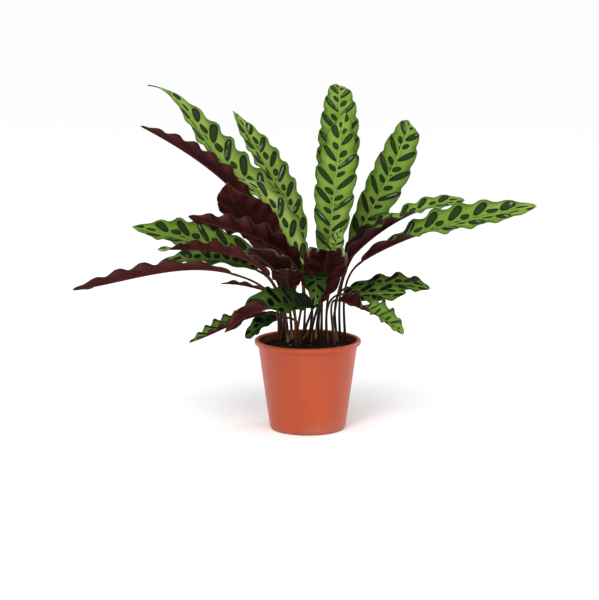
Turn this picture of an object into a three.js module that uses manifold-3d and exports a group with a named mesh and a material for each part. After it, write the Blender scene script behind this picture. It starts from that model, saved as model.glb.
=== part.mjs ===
// Rattlesnake plant in its nursery pot. Units are mm, +Z is up, the pot stands on z = 0 with its axis
// on the origin, and -Y is the side that the plant is looked at from.
import * as THREE from "three";
import Module from "manifold-3d";

// Pot
const rimRadius = 60;
const rimHeight = 102;
const rimBand = 5.4;
const rimRoll = 3;
const rimRound = 1.7;
const wallThickness = 1.4;
const shoulderRadius = 56.2;
const baseRadius = 43;
const baseCorner = 4;
const floorThickness = 2;
const grooveInner = 18;
const grooveOuter = 29;
const grooveSlope = 1;
const grooveDepth = 2.2;
const drainCount = 8;
const drainRadius = 3.6;
const drainSides = 16;
const potSides = 48;

// Soil: the height of its edge and its middle, and the gap that it keeps to the pot
const soilEdge = 92.5;
const soilCrown = 96.5;
const soilGap = 0.4;
const soilRings = [45, 36, 24, 12];
const soilSides = 32;
const soilLump = 0.7;

// Stems, which stand in plain holes that follow them into the soil
const holeDepth = 12;
const holeGap = 0.45;
const holeSteps = 3;
const stemFoot = 1.9;
const stemNeck = 1.25;
const stemSides = 6;
const stemSteps = 9;
const stemRise = 0.4;
const stemLead = 0.35;
const joinGap = 0.4;

// Blades: half widths at foot and tip, edge waves, how much of the fold is gone at the tip, and how far the
// veins sweep forward to the edge
const bladeThickness = 0.9;
const bladeFoot = 1.7;
const bladeEnd = 0.8;
const wavePitch = 23;
const waveHeight = 2.6;
const waveStart = [0.1, 0.35];
const scallop = 0.06;
const foldFade = 0.7;
const stationsPerWave = 4;
const veinSweep = 0.5;
const sweepStart = 0.17;
const broadLow = 0.93;
const bluntness = 0.5;
const tipPoint = 0.12;

// A dry stub of an old stem at the foot of one stem: where it starts and ends, and its radii there
const stub = {
  stem: "left_inner",
  line: [[-8.5, 22, 92], [0, 20.5, 106]],
  radii: [1.5, 0.9],
};

const leafColour = 0x5f9a34;
const stemColour = 0x6b4a2c;
const soilColour = 0x2a1c14;
const potColour = 0xc65d3b;

// One row for each leaf: where its stem stands in the soil, the points that its midrib runs through from
// blade foot to tip, its full width, the ways its upper side looks from foot to tip, and how steeply its
// halves fold up from the midrib, in degrees. Some rows change how finely the tip is drawn out (point), how
// far the stem climbs before it turns (rise), how far before the blade it already runs the blade's way
// (lead), both as shares of its length, and how high the edge waves are (waved) and how many (waves).
const leaves = [
  {
    name: "tall_back",
    root: [9, 34],
    rib: [[21, 36, 190], [29, 42, 262], [35, 60, 335], [36, 82, 369], [36, 112, 379]],
    width: 49,
    face: [[0.1, -1, 0.2], [0.1, -1, 0.2]],
    fold: 18,
  },
  {
    name: "tall_front",
    root: [16, 20],
    rib: [[20, 14, 184], [27, 16, 240], [34, 27, 304], [42, 52, 352]],
    width: 46,
    face: [[0.1, -1, 0.2], [-0.1, -1, 0.2]],
    fold: 18,
    waves: 7,
  },
  {
    name: "right_tall",
    root: [28, 38],
    rib: [[50, 60, 192], [74, 66, 242], [96, 78, 285], [113, 98, 322], [120, 130, 333]],
    width: 44,
    point: 0.1,
    face: [[0, -1, 0.2], [0.2, -1, 0.2]],
    fold: 20,
    waves: 7,
  },
  {
    name: "left_long",
    root: [-12, 36],
    rib: [[-22, 58, 196], [-62, 71, 262], [-120, 80, 322], [-160, 89, 372], [-184, 95, 380]],
    width: 50,
    point: 1.3,
    face: [[0.6, -0.7, 0.5], [0.6, -0.7, 0.5]],
    fold: 34,
    waved: 1.3,
    waves: 9,
  },
  {
    name: "left_second",
    root: [4, 45],
    rib: [[-5, 78, 202], [-25, 93, 245], [-55, 107, 297], [-87, 117, 349]],
    width: 42,
    point: 0.4,
    face: [[0.5, -0.8, 0.4], [0.5, -0.8, 0.4]],
    fold: 34,
  },
  {
    name: "left_high_purple",
    root: [-18, 28],
    rib: [[-48, 22, 220], [-86, 24, 270], [-133, 30, 307], [-188, 38, 338]],
    width: 48,
    point: 0,
    face: [[0.5, 0.35, 0.8], [0.4, 0.3, 0.9]],
    fold: 30,
    waved: 0.9,
  },
  {
    name: "left_broad_purple",
    root: [-22, 18],
    rib: [[-38, 8, 183], [-61, -12, 232], [-77, -34, 256], [-87, -62, 286]],
    width: 62,
    point: 0.5,
    face: [[0.3, 0.9, 0.3], [0.3, 0.8, 0.6]],
    fold: 16,
    waved: 0.4,
  },
  {
    name: "left_inner",
    root: [-8, 22],
    rib: [[2, 24, 172], [-24, 24, 214], [-46, 19, 254], [-77, -8, 283]],
    width: 46,
    point: 0.5,
    face: [[0.5, -0.9, 0.3], [0.6, -0.2, 0.9]],
    fold: 20,
    waves: 5,
  },
  {
    name: "left_mid_purple",
    root: [-14, 11],
    rib: [[-10, -18, 182], [-32, -38, 210], [-74, -56, 231], [-129, -66, 250]],
    width: 38,
    face: [[0.5, 0.5, 0.8], [0.3, 1, 0.7]],
    fold: 28,
    waved: 1.5,
  },
  {
    name: "left_green",
    root: [-28, 26],
    rib: [[-56, 30, 190], [-96, 26, 201], [-144, 24, 212], [-198, 25, 226]],
    width: 50,
    point: 0.3,
    face: [[0.1, -0.53, 0.83], [0.1, -0.53, 0.83]],
    fold: 32,
  },
  {
    name: "left_low_purple",
    root: [-22, 6],
    rib: [[-44, -22, 177], [-66, -34, 196], [-110, -44, 209], [-164, -50, 211]],
    width: 33,
    face: [[0.3, 0.2, 0.9], [0.2, 0.3, 0.9], [0.1, 0.35, 0.9], [0, 0.4, 0.9], [0, 0.5, 0.9], [0, -0.6, 0.8]],
    fold: 26,
    waved: 0.8,
  },
  {
    name: "left_longest",
    root: [-33, 5],
    rib: [[-84, -52, 185], [-132, -62, 191], [-193, -68, 182], [-255, -72, 170]],
    width: 42,
    point: 0,
    face: [[0.1, 0.15, 1], [-0.2, 0.5, 0.9]],
    fold: 26,
    lead: 0.5,
    waved: 0.9,
    waves: 6,
  },
  {
    name: "left_grey",
    root: [-30, 34],
    rib: [[-58, 50, 172], [-86, 60, 179], [-124, 74, 180], [-174, 92, 174]],
    width: 46,
    face: [[0, -0.35, 0.95], [0, -0.35, 0.95]],
    fold: 22,
  },
  {
    name: "left_small",
    root: [-24, 42],
    rib: [[-46, 54, 147], [-60, 66, 149], [-78, 76, 151], [-101, 82, 151]],
    width: 21,
    face: [[0, 0.4, 1], [0, 0.4, 1]],
    fold: 16,
    waved: 0.5,
  },
  {
    name: "front_green",
    root: [14, -7],
    rib: [[12, -28, 145], [-10, -66, 151], [-38, -98, 155], [-59, -116, 152], [-88, -128, 134]],
    width: 46,
    point: 0.4,
    face: [[0, -0.7, 0.7], [0, -0.7, 0.7], [0, -0.7, 0.7], [0, -0.7, 0.7], [-0.6, 0.6, 0.5], [-0.8, 2, 0.3]],
    fold: 34,
    rise: 0.5,
    lead: 0.25,
    waved: 0.8,
  },
  {
    name: "left_low",
    root: [-34, 14],
    rib: [[-46, -2, 131], [-68, -14, 128], [-99, -28, 117], [-131, -42, 106]],
    width: 34,
    face: [[0, 0.05, 1], [-0.1, 0.05, 1]],
    fold: 34,
    lead: 0.5,
    waved: 0.9,
    waves: 7,
  },
  {
    name: "left_back_low",
    root: [-14, 46],
    rib: [[-26, 60, 115], [-42, 68, 110], [-57, 74, 101], [-73, 78, 88]],
    width: 31,
    face: [[0, -0.5, 0.9], [0.1, -0.5, 0.8]],
    fold: 16,
    lead: 0.6,
    waved: 0.6,
  },
  {
    name: "front_hanging",
    root: [1, 1],
    rib: [[2, -22, 160], [2, -42, 180], [6, -62, 184], [7, -90, 157]],
    width: 28,
    face: [[0.1, 0.2, 1], [0.1, -0.4, 0.9], [0.1, -0.95, 0.3]],
    fold: 12,
    waved: 0.5,
    waves: 5,
  },
  {
    name: "front_left_purple",
    root: [-13, -8],
    rib: [[-19, -36, 160], [-22, -66, 179], [-22, -94, 191], [-22, -120, 201]],
    width: 34,
    face: [[0, 0.8, 0.7], [0, 0.1, 1]],
    fold: 14,
  },
  {
    name: "right_low_front",
    root: [22, -4],
    rib: [[39, -6, 154], [64, -14, 156], [87, -22, 158], [109, -28, 160]],
    width: 38,
    face: [[0, -0.5, 0.85], [0, -0.45, 0.9]],
    fold: 6,
    waved: 1,
  },
  {
    name: "right_low_back",
    root: [34, 15],
    rib: [[48, 28, 156], [78, 24, 160], [110, 16, 162], [137, 6, 158]],
    width: 37,
    face: [[0, -0.4, 0.9], [0, -0.4, 0.9]],
    fold: 5,
    waved: 1.2,
  },
  {
    name: "right_droop",
    root: [31, 3],
    rib: [[34, -22, 150], [46, -44, 150], [72, -78, 145], [102, -112, 129]],
    width: 34,
    face: [[0.4, 0.9, 0.2], [0.4, 0.8, 0.4], [0.1, -0.4, 0.9], [0.1, -0.5, 0.85], [0.1, -0.5, 0.85]],
    fold: 45,
    lead: 0.5,
    waved: 1.3,
    waves: 7,
  },
  {
    name: "right_long",
    root: [43, 22],
    rib: [[61, 14, 188], [103, -2, 213], [165, -18, 236], [251, -30, 257]],
    width: 42,
    point: 0.15,
    face: [[0.1, 0.3, 0.9], [0, -0.65, 0.75], [0, -0.8, 0.65]],
    fold: 32,
    waved: 1.2,
    waves: 7,
  },
  {
    name: "right_second",
    root: [22, 10],
    rib: [[30, 13, 166], [57, 3, 203], [105, 5, 238], [176, 22, 257]],
    width: 39,
    face: [[-0.5, 0.4, 0.8], [-0.3, 0.1, 0.9], [-0.3, -0.8, 0.75]],
    fold: 22,
  },
  {
    name: "centre_purple",
    root: [12, 7],
    rib: [[14, -8, 145], [18, -22, 180], [21, -40, 204], [22, -61, 212]],
    width: 46,
    face: [[0, 1, 0.2], [0, 0.8, 0.6], [0, 0.1, 1]],
    fold: 16,
    waved: 2.6,
    waves: 5,
  },
  {
    name: "right_wide",
    root: [37, 30],
    rib: [[44, 33, 176], [60, 33, 204], [79, 35, 223], [104, 46, 236]],
    width: 38,
    face: [[-0.5, 0.5, 0.7], [-0.45, 0.4, 0.8], [-0.4, 0.1, 0.9], [-0.2, -0.9, 0.5]],
    fold: 30,
  },
  {
    name: "left_purple_inner",
    root: [-8, -5],
    rib: [[-24, -28, 164], [-32, -50, 184], [-46, -70, 202], [-66, -84, 217]],
    width: 45,
    face: [[0.5, 0.8, 0.4], [0.4, 0.7, 0.6]],
    fold: 20,
  },
  {
    name: "back_left",
    root: [-5, 46],
    rib: [[-6, 62, 160], [-16, 84, 184], [-28, 112, 190], [-42, 142, 176]],
    width: 44,
    face: [[0, 0.1, 1], [0, 0.2, 1]],
    fold: 18,
  },
  {
    name: "centre_small",
    root: [2, 13],
    rib: [[24, 3, 184], [27, -2, 198], [31, -5, 212], [36, -2, 228]],
    width: 20,
    face: [[0.1, -1, 0.3], [0.1, -1, 0.3]],
    fold: 16,
    waved: 0.6,
    waves: 4,
  },
];

const wasm = await Module();
wasm.setup();

const vec = (p) => new THREE.Vector3(...p);
const moved = (a, b, k) => a.clone().addScaledVector(b, k);
const circle = (k, sides) => [Math.cos((2 * Math.PI * k) / sides), Math.sin((2 * Math.PI * k) / sides)];

// A smooth curve through all its points, which takes longer between points that are further apart
class RibCurve extends THREE.Curve {
  constructor(points) {
    super();
    this.points = points;
    this.knots = [0];
    for (let i = 1; i < points.length; i += 1) {
      this.knots.push(this.knots[i - 1] + points[i].distanceTo(points[i - 1]));
    }
    this.knots = this.knots.map((k) => k / this.knots[points.length - 1]);
  }

  getPoint(t, target = new THREE.Vector3()) {
    target.set(0, 0, 0);
    this.points.forEach((p, i) => {
      let weight = 1;
      this.knots.forEach((k, j) => {
        if (j !== i) weight *= (t - k) / (this.knots[i] - k);
      });
      target.addScaledVector(p, weight);
    });
    return target;
  }
}

function geometryFrom(positions, index) {
  const geometry = new THREE.BufferGeometry();
  geometry.setAttribute("position", new THREE.Float32BufferAttribute(positions, 3));
  geometry.setIndex(index);
  return geometry;
}

function solidFrom(geometry) {
  const vertProperties = geometry.getAttribute("position").array;
  const triVerts = new Uint32Array(geometry.index.array);
  return new wasm.Manifold(new wasm.Mesh({ numProp: 3, vertProperties, triVerts }));
}

function geometryOf(solid) {
  const mesh = solid.getMesh();
  return geometryFrom(mesh.vertProperties, Array.from(mesh.triVerts));
}

// A turned body from [radius, height] points, which start and end on the axis and have the body on their left
function turned(profile, sides) {
  const positions = [];
  const index = [];
  const starts = [];
  profile.forEach(([r, z]) => {
    starts.push(positions.length / 3);
    for (let k = 0; k < (r === 0 ? 1 : sides); k += 1) {
      const [c, s] = circle(k, sides);
      positions.push(r * c, r * s, z);
    }
  });
  for (let i = 0; i < profile.length - 1; i += 1) {
    const at = (row, k) => starts[row] + (profile[row][0] === 0 ? 0 : k % sides);
    for (let k = 0; k < sides; k += 1) {
      if (profile[i][0] !== 0) index.push(at(i, k), at(i, k + 1), at(i + 1, k + 1));
      if (profile[i + 1][0] !== 0) index.push(at(i, k), at(i + 1, k + 1), at(i + 1, k));
    }
  }
  return geometryFrom(positions, index);
}

// A tube of flat-sided rings between two shares of a curve's length, drawn out below its foot
function tube(curve, radiusAt, to, steps, drawnOut = 0) {
  const positions = [];
  const index = [];
  const across = new THREE.Vector3(1, 0, 0);
  for (let i = 0; i <= steps; i += 1) {
    const share = (to * i) / steps;
    const tangent = curve.getTangentAt(share);
    const centre = moved(curve.getPointAt(share), tangent, i === 0 ? -drawnOut : 0);
    across.addScaledVector(tangent, -across.dot(tangent)).normalize();
    const other = tangent.clone().cross(across);
    for (let k = 0; k < stemSides; k += 1) {
      const [c, s] = circle(k, stemSides);
      const p = moved(centre, across, radiusAt(share) * c);
      positions.push(...moved(p, other, radiusAt(share) * s).toArray());
    }
  }
  for (let i = 0; i < steps; i += 1) {
    for (let k = 0; k < stemSides; k += 1) {
      const a = i * stemSides + k;
      const b = i * stemSides + ((k + 1) % stemSides);
      index.push(a, b, b + stemSides, a, b + stemSides, a + stemSides);
    }
  }
  const top = steps * stemSides;
  for (let k = 1; k < stemSides - 1; k += 1) {
    index.push(0, k + 1, k, top, top + k, top + k + 1);
  }
  return geometryFrom(positions, index);
}

// A closed thin sheet over rows of three points, left edge, midrib and right edge: upper side, under side
// with the same diagonals, and a rim all round
function sheet(rows) {
  const n = rows.length;
  const positions = [];
  const outward = rows.map((row, i) => {
    const ahead = rows[Math.min(i + 1, n - 1)];
    const behind = rows[Math.max(i - 1, 0)];
    return row.map((p, j) => {
      const across = row[Math.min(j + 1, 2)].clone().sub(row[Math.max(j - 1, 0)]);
      return across.cross(ahead[j].clone().sub(behind[j])).normalize();
    });
  });
  for (const half of [bladeThickness / 2, -bladeThickness / 2]) {
    rows.forEach((row, i) => {
      row.forEach((p, j) => positions.push(...moved(p, outward[i][j], half).toArray()));
    });
  }
  const upper = ([i, j]) => i * 3 + j;
  const under = ([i, j]) => n * 3 + i * 3 + j;
  const faces = [];
  for (let i = 0; i < n - 1; i += 1) {
    faces.push([[i, 0], [i, 1], [i + 1, 0]]);
    faces.push([[i, 1], [i + 1, 1], [i + 1, 0]]);
    faces.push([[i, 1], [i, 2], [i + 1, 2]]);
    faces.push([[i, 1], [i + 1, 2], [i + 1, 1]]);
  }
  const index = [];
  faces.forEach(([a, b, c]) => index.push(upper(a), upper(b), upper(c)));
  faces.forEach(([a, b, c]) => index.push(under(a), under(c), under(b)));
  const rim = [[0, 0], [0, 1]];
  for (let i = 0; i < n; i += 1) rim.push([i, 2]);
  rim.push([n - 1, 1]);
  for (let i = n - 1; i > 0; i -= 1) rim.push([i, 0]);
  rim.forEach((here, k) => {
    const next = rim[(k + 1) % rim.length];
    index.push(upper(here), under(here), upper(next));
    index.push(under(here), under(next), upper(next));
  });
  return geometryFrom(positions, index);
}

// Half the blade's width at the share s of its length, 1 at the widest place, a little below the middle
const outline = (s, point) => Math.pow(Math.sin(Math.PI * Math.pow(s, broadLow)), bluntness + point * s);

// The edge wave: round crests with sharper troughs
const wave = (phase) => Math.sin(2 * Math.PI * phase) + 0.25 * Math.cos(4 * Math.PI * phase);

function bladeRows(leaf, rib) {
  const waves = leaf.waves ?? Math.round(rib.getLength() / wavePitch);
  const waved = leaf.waved ?? 1;
  const stations = waves * stationsPerWave;
  const looks = leaf.face.map(vec);
  const rows = [];
  for (let i = 0; i <= stations; i += 1) {
    const s = i / stations;
    const middle = rib.getPointAt(s);
    const tangent = rib.getTangentAt(s);
    const part = s * (looks.length - 1);
    const from = Math.min(Math.floor(part), looks.length - 2);
    const up = looks[from].clone().lerp(looks[from + 1], part - from);
    up.addScaledVector(tangent, -up.dot(tangent)).normalize();
    const side = tangent.clone().cross(up);
    const shape = outline(s, leaf.point ?? tipPoint);
    const fold = THREE.MathUtils.degToRad(leaf.fold) * (1 - foldFade * s ** 4);
    const edge = (sign) => {
      const phase = s * waves + waveStart[sign < 0 ? 0 : 1];
      const wanted = (leaf.width / 2) * shape * (1 + scallop * waved * wave(phase + 0.25));
      const reach = Math.max(wanted, bladeFoot + (bladeEnd - bladeFoot) * s);
      const ripple = waveHeight * waved * wave(phase) * Math.pow(shape, 1.5);
      const sweep = veinSweep * reach * (1 - s) * Math.min(1, s / sweepStart);
      return moved(middle, tangent, sweep)
        .addScaledVector(side, sign * reach * Math.cos(fold))
        .addScaledVector(up, reach * Math.sin(fold) + ripple);
    };
    rows.push([edge(-1), middle, edge(1)]);
  }
  return rows;
}

// Straight up out of the soil, then over into the line of the midrib
function stemCurve(leaf, rib) {
  const foot = new THREE.Vector3(leaf.root[0], leaf.root[1], soilEdge - holeDepth + holeGap);
  const along = rib.getTangentAt(0);
  const end = moved(rib.getPointAt(0), along, -joinGap);
  const reach = end.distanceTo(foot);
  const turn = foot.clone().setZ(foot.z + (leaf.rise ?? stemRise) * reach);
  return new THREE.CubicBezierCurve3(foot, turn, moved(end, along, -(leaf.lead ?? stemLead) * reach), end);
}

const group = new THREE.Group();
function place(name, geometry, color, roughness) {
  geometry.computeVertexNormals();
  const mesh = new THREE.Mesh(geometry, new THREE.MeshStandardMaterial({ color, roughness, metalness: 0 }));
  mesh.name = name;
  group.add(mesh);
}

// The pot's outside from its underside up over the rolled rim, then its inside down to the floor
const rimBottom = rimHeight - rimBand;
const floorTop = floorThickness + grooveDepth;
const insideBottom = baseCorner + 1;
const insideTop = rimBottom - 1;
const innerShoulder = shoulderRadius - wallThickness;
const innerBase = baseRadius - wallThickness;
const potProfile = [
  [0, 0],
  [grooveInner, 0],
  [grooveInner + grooveSlope, grooveDepth],
  [grooveOuter - grooveSlope, grooveDepth],
  [grooveOuter, 0],
  [baseRadius - baseCorner, 0],
  [baseRadius - 0.3 * baseCorner, 0.3 * baseCorner],
  [baseRadius, baseCorner],
  [shoulderRadius, rimBottom],
  [rimRadius - rimRound, rimBottom],
  [rimRadius, rimBottom + rimRound],
  [rimRadius, rimHeight - rimRound],
  [rimRadius - rimRound, rimHeight],
  [rimRadius - rimRoll, rimHeight],
  [rimRadius - rimRoll - rimRound, rimHeight - rimRound],
  [innerShoulder, insideTop],
  [innerBase, insideBottom],
  [innerBase - 2, floorTop],
  [0, floorTop],
];
let pot = solidFrom(turned(potProfile, potSides));
const drainPlace = (grooveInner + grooveOuter) / 2;
const drain = wasm.Manifold.cylinder(4 * floorTop, drainRadius, drainRadius, drainSides, true);
for (let i = 0; i < drainCount; i += 1) {
  const [c, s] = circle(i, drainCount);
  pot = pot.subtract(drain.translate([drainPlace * c, drainPlace * s, 0]));
}
place("pot", geometryOf(pot), potColour, 0.45);

// The soil fills the pot, with a low lumpy mound for its top
const wallSlope = (innerShoulder - innerBase) / (insideTop - insideBottom);
const soilRadius = (z) => innerBase + wallSlope * (z - insideBottom) - soilGap;
const soilTop = (r) => soilCrown + (soilEdge - soilCrown) * Math.pow(r / soilRadius(soilEdge), 2);
const soilBody = turned(
  [
    [0, floorTop + soilGap],
    [innerBase - 3, floorTop + soilGap],
    [soilRadius(insideBottom + 1), insideBottom + 1],
    [soilRadius(soilEdge), soilEdge],
    ...soilRings.map((r) => [r, soilTop(r)]),
    [0, soilCrown],
  ],
  soilSides,
);
const points = soilBody.getAttribute("position");
for (let i = 0; i < points.count; i += 1) {
  const [x, y, z] = [points.getX(i), points.getY(i), points.getZ(i)];
  const lump = Math.sin(0.31 * x + 1) * Math.sin(0.27 * y) + Math.sin(0.13 * x - 0.17 * y);
  if (z > soilEdge) points.setZ(i, z + soilLump * lump);
}
let soil = solidFrom(soilBody);

const stemRadius = (share) => stemFoot + (stemNeck - stemFoot) * share;
const holeRadius = (share) => stemRadius(share) + holeGap;
const stubCurve = new THREE.LineCurve3(...stub.line.map(vec));
const stubRadius = (gap) => (share) => stub.radii[0] + (stub.radii[1] - stub.radii[0]) * share + gap;
soil = soil.subtract(solidFrom(tube(stubCurve, stubRadius(holeGap), 1, 1, holeGap)));

for (const leaf of leaves) {
  const rib = new RibCurve(leaf.rib.map(vec));
  const curve = stemCurve(leaf, rib);
  soil = soil.subtract(solidFrom(tube(curve, holeRadius, holeSteps / stemSteps, holeSteps, holeGap)));
  let stem = tube(curve, stemRadius, 1, stemSteps);
  if (leaf.name === stub.stem) {
    stem = geometryOf(solidFrom(stem).add(solidFrom(tube(stubCurve, stubRadius(0), 1, 1))));
  }
  place("leaf_" + leaf.name, sheet(bladeRows(leaf, rib)), leafColour, 0.45);
  place("stem_" + leaf.name, stem, stemColour, 0.6);
}
place("soil", geometryOf(soil), soilColour, 1);

export default group;
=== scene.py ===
# Rattlesnake plant in its nursery pot: finer forms and finishes over its solid model, in metres
import math
import random

import bpy
import bmesh
import numpy as np
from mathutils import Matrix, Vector, noise


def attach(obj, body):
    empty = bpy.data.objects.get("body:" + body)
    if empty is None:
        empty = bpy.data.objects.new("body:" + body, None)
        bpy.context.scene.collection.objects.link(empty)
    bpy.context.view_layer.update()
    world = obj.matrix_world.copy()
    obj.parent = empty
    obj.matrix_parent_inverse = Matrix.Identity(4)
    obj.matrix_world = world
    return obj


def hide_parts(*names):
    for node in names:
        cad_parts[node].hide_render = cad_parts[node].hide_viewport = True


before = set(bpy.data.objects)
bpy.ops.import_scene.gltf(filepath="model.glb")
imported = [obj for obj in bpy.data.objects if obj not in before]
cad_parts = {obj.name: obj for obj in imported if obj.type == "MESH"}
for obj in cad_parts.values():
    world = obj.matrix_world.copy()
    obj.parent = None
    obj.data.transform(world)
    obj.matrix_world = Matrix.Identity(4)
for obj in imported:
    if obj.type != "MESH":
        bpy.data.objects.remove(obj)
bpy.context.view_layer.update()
print("stage: frame loaded,", len(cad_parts), "nodes")
scene = bpy.context.scene


# Camera first: the eye a little above the leaves, a long lens
view = {"eye": (0.0, -2.2, 0.536), "target": (-0.0093, 0.0, 0.1465), "lens": 119.4, "far": 100}


def aim(thing, target):
    thing.rotation_euler = (Vector(target) - thing.location).to_track_quat("-Z", "Y").to_euler()


cameraData = bpy.data.cameras.new("camera")
cameraData.lens = view["lens"]
cameraData.clip_end = view["far"]
camera = bpy.data.objects.new("camera", cameraData)
camera.location = view["eye"]
aim(camera, view["target"])
scene.collection.objects.link(camera)
scene.camera = camera
scene.view_settings.view_transform = "Standard"


def srgb(red, green, blue):  # a colour as a picker shows it, 0 to 255, by the usual curve
    def linear(c):
        c /= 255
        return c / 12.92 if c < 0.04045 else ((c + 0.055) / 1.055) ** 2.4
    return (linear(red), linear(green), linear(blue), 1.0)


def sums(operation):  # an operator on wires, and its reflected form, as in 1 - mask
    return lambda a, b: a.math(operation, a, b), lambda a, b: a.math(operation, b, a)


def does(operation):
    return lambda wire, *others: wire.math(operation, wire, *others)


class Wire:  # a socket that sums can be written with
    __add__, __radd__ = sums("ADD")
    __sub__, __rsub__ = sums("SUBTRACT")
    __mul__, __rmul__ = sums("MULTIPLY")
    __truediv__, __rtruediv__ = sums("DIVIDE")
    __pow__, __rpow__ = sums("POWER")
    __abs__ = does("ABSOLUTE")
    floor = does("FLOOR")
    sine = does("SINE")
    above = does("GREATER_THAN")
    larger = does("MAXIMUM")
    smaller = does("MINIMUM")

    def __init__(self, finish, socket):
        self.finish = finish
        self.socket = socket

    def math(self, operation, *values):
        return self.finish.node("Math", {"operation": operation}, dict(enumerate(values)))

    def step(self, low, high):  # 0 at low, 1 at high, smooth between, either way round
        return self.finish.node("MapRange", {"interpolation_type": "SMOOTHSTEP"}, {0: self, 1: low, 2: high})

    def ripples(self, count):  # that many even waves to each unit, from 0 to 1
        return (self * (2 * math.pi * count)).sine() * 0.5 + 0.5


class Finish:  # one material and its nodes
    def __init__(self, name):
        self.material = bpy.data.materials.new(name)
        self.material.use_nodes = True
        self.tree = self.material.node_tree
        self.shader = self.tree.nodes["Principled BSDF"]

    def feed(self, place, value):
        if isinstance(value, Wire):
            self.tree.links.new(value.socket, place)
        else:
            place.default_value = value

    def node(self, kind, settings=None, sockets=None, out=0):
        made = self.tree.nodes.new("ShaderNode" + kind)
        for key, value in (settings or {}).items():
            setattr(made, key, value)
        for key, value in (sockets or {}).items():
            self.feed(made.inputs[key], value)
        return Wire(self, made.outputs[out])

    def set(self, **values):  # shader sockets by name
        for key, value in values.items():
            self.feed(self.shader.inputs[key.replace("_", " ")], value)

    def mix(self, share, first, second):
        return self.node("Mix", {"data_type": "RGBA"}, {0: share, 6: first, 7: second}, 2)

    def layers(self, colours, first, *others):  # named colours, each with its share over the ones before it
        mixed = colours[first]
        for share, other in others:
            mixed = self.mix(share, mixed, other if isinstance(other, Wire) else colours[other])
        return mixed

    def parts(self, kind, whole):  # the three numbers in a vector (XYZ) or a colour (Color)
        first = self.node("Separate" + kind, None, {0: whole})
        return [Wire(self, socket) for socket in first.socket.node.outputs]

    def uv(self, name):
        return self.parts("XYZ", self.node("UVMap", {"uv_map": name}))[:2]

    def place(self):  # where a spot is on the piece
        return self.node("TexCoord", None, None, 3)

    def point(self, x, y):
        return self.node("CombineXYZ", None, {0: x, 1: y})

    def stretched(self, where, factors):
        return self.node("VectorMath", {"operation": "MULTIPLY"}, {0: where, 1: factors})

    def clouds(self, where, scale, detail, rough=0.5):
        sockets = {"Vector": where, "Scale": scale, "Detail": detail, "Roughness": rough}
        return self.node("TexNoise", None, sockets)

    def bump(self, height, strength, distance):
        return self.node("Bump", None, {"Strength": strength, "Distance": distance, "Height": height})

    def dress(self, colour, rough, height, look):
        self.set(Base_Color=colour, Roughness=rough, Specular_IOR_Level=look["shine"])
        self.set(Normal=self.bump(height, *look["relief"]))
        return self


def makePiece(name, points, faces, finishes, kinds=None, maps=None, sharp=None):
    mesh = bpy.data.meshes.new(name)
    mesh.from_pydata(np.asarray(points).tolist(), [], faces)
    for finish in finishes:
        mesh.materials.append(finish.material)
    mesh.polygons.foreach_set("use_smooth", [True] * len(mesh.polygons))
    if kinds is not None:
        mesh.polygons.foreach_set("material_index", kinds)
    for key, values in (maps or {}).items():
        layer = mesh.uv_layers.new(name=key)
        layer.data.foreach_set("uv", np.asarray(values, dtype=np.float32).ravel())
    if sharp is not None:
        ends = np.empty(2 * len(mesh.edges), dtype=np.int32)
        mesh.edges.foreach_get("vertices", ends)
        mesh.attributes.new("sharp_edge", "BOOLEAN", "EDGE")
        mesh.attributes["sharp_edge"].data.foreach_set("value", sharp(ends.reshape(-1, 2)))
    mesh.update()
    piece = bpy.data.objects.new(name, mesh)
    scene.collection.objects.link(piece)
    return piece


# Studio: a pale floor, a wide soft sun and soft boxes
studio = {
    "middle": (0.0, 0.0, 0.2), "floor": 60.0, "floorColour": (0.97, 0.97, 0.97, 1.0), "floorRough": 0.9,
    "sky": 0.48, "skyColour": (1.0, 1.0, 1.0, 1.0),
    "sun": {"from": (-0.15, -0.8, 1.3), "power": 2.2, "softness": 55.0},
    "boxes": {
        "keyBox": {"from": (-0.5, -1.5, 1.2), "size": (0.3, 0.9), "power": 8.0},
        "fillBox": {"from": (1.3, -1.5, 0.9), "size": (0.5, 1.2), "power": 5.0},
        "leftBackBox": {"from": (-1.2, 0.9, 0.6), "size": (0.3, 1.2), "power": 4.0},
        "rightBackBox": {"from": (1.1, 0.7, 0.5), "size": (0.4, 1.2), "power": 7.0},
    },
}


def makeFloor():
    finish = Finish("pale_floor")
    finish.set(Base_Color=studio["floorColour"], Roughness=studio["floorRough"])
    half = studio["floor"] / 2
    corners = [(-half, -half, 0), (half, -half, 0), (half, half, 0), (-half, half, 0)]
    makePiece("floor", corners, [(0, 1, 2, 3)], [finish])


def makeSky():
    world = bpy.data.worlds.new("soft_room")
    world.use_nodes = True
    sky = world.node_tree.nodes["Background"]
    sky.inputs["Color"].default_value = studio["skyColour"]
    sky.inputs["Strength"].default_value = studio["sky"]
    scene.world = world


def makeLamp(name, kind, lamp):
    light = bpy.data.lights.new(name, kind)
    light.energy = lamp["power"]
    piece = bpy.data.objects.new(name, light)
    piece.location = lamp["from"]
    aim(piece, studio["middle"])
    scene.collection.objects.link(piece)
    return light


makeFloor()
makeSky()
sun = makeLamp("softSun", "SUN", studio["sun"])
sun.angle = math.radians(studio["sun"]["softness"])
for name, lamp in studio["boxes"].items():
    box = makeLamp(name, "AREA", lamp)
    box.shape = "RECTANGLE"
    box.size, box.size_y = lamp["size"]
print("stage: studio ready")


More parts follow.
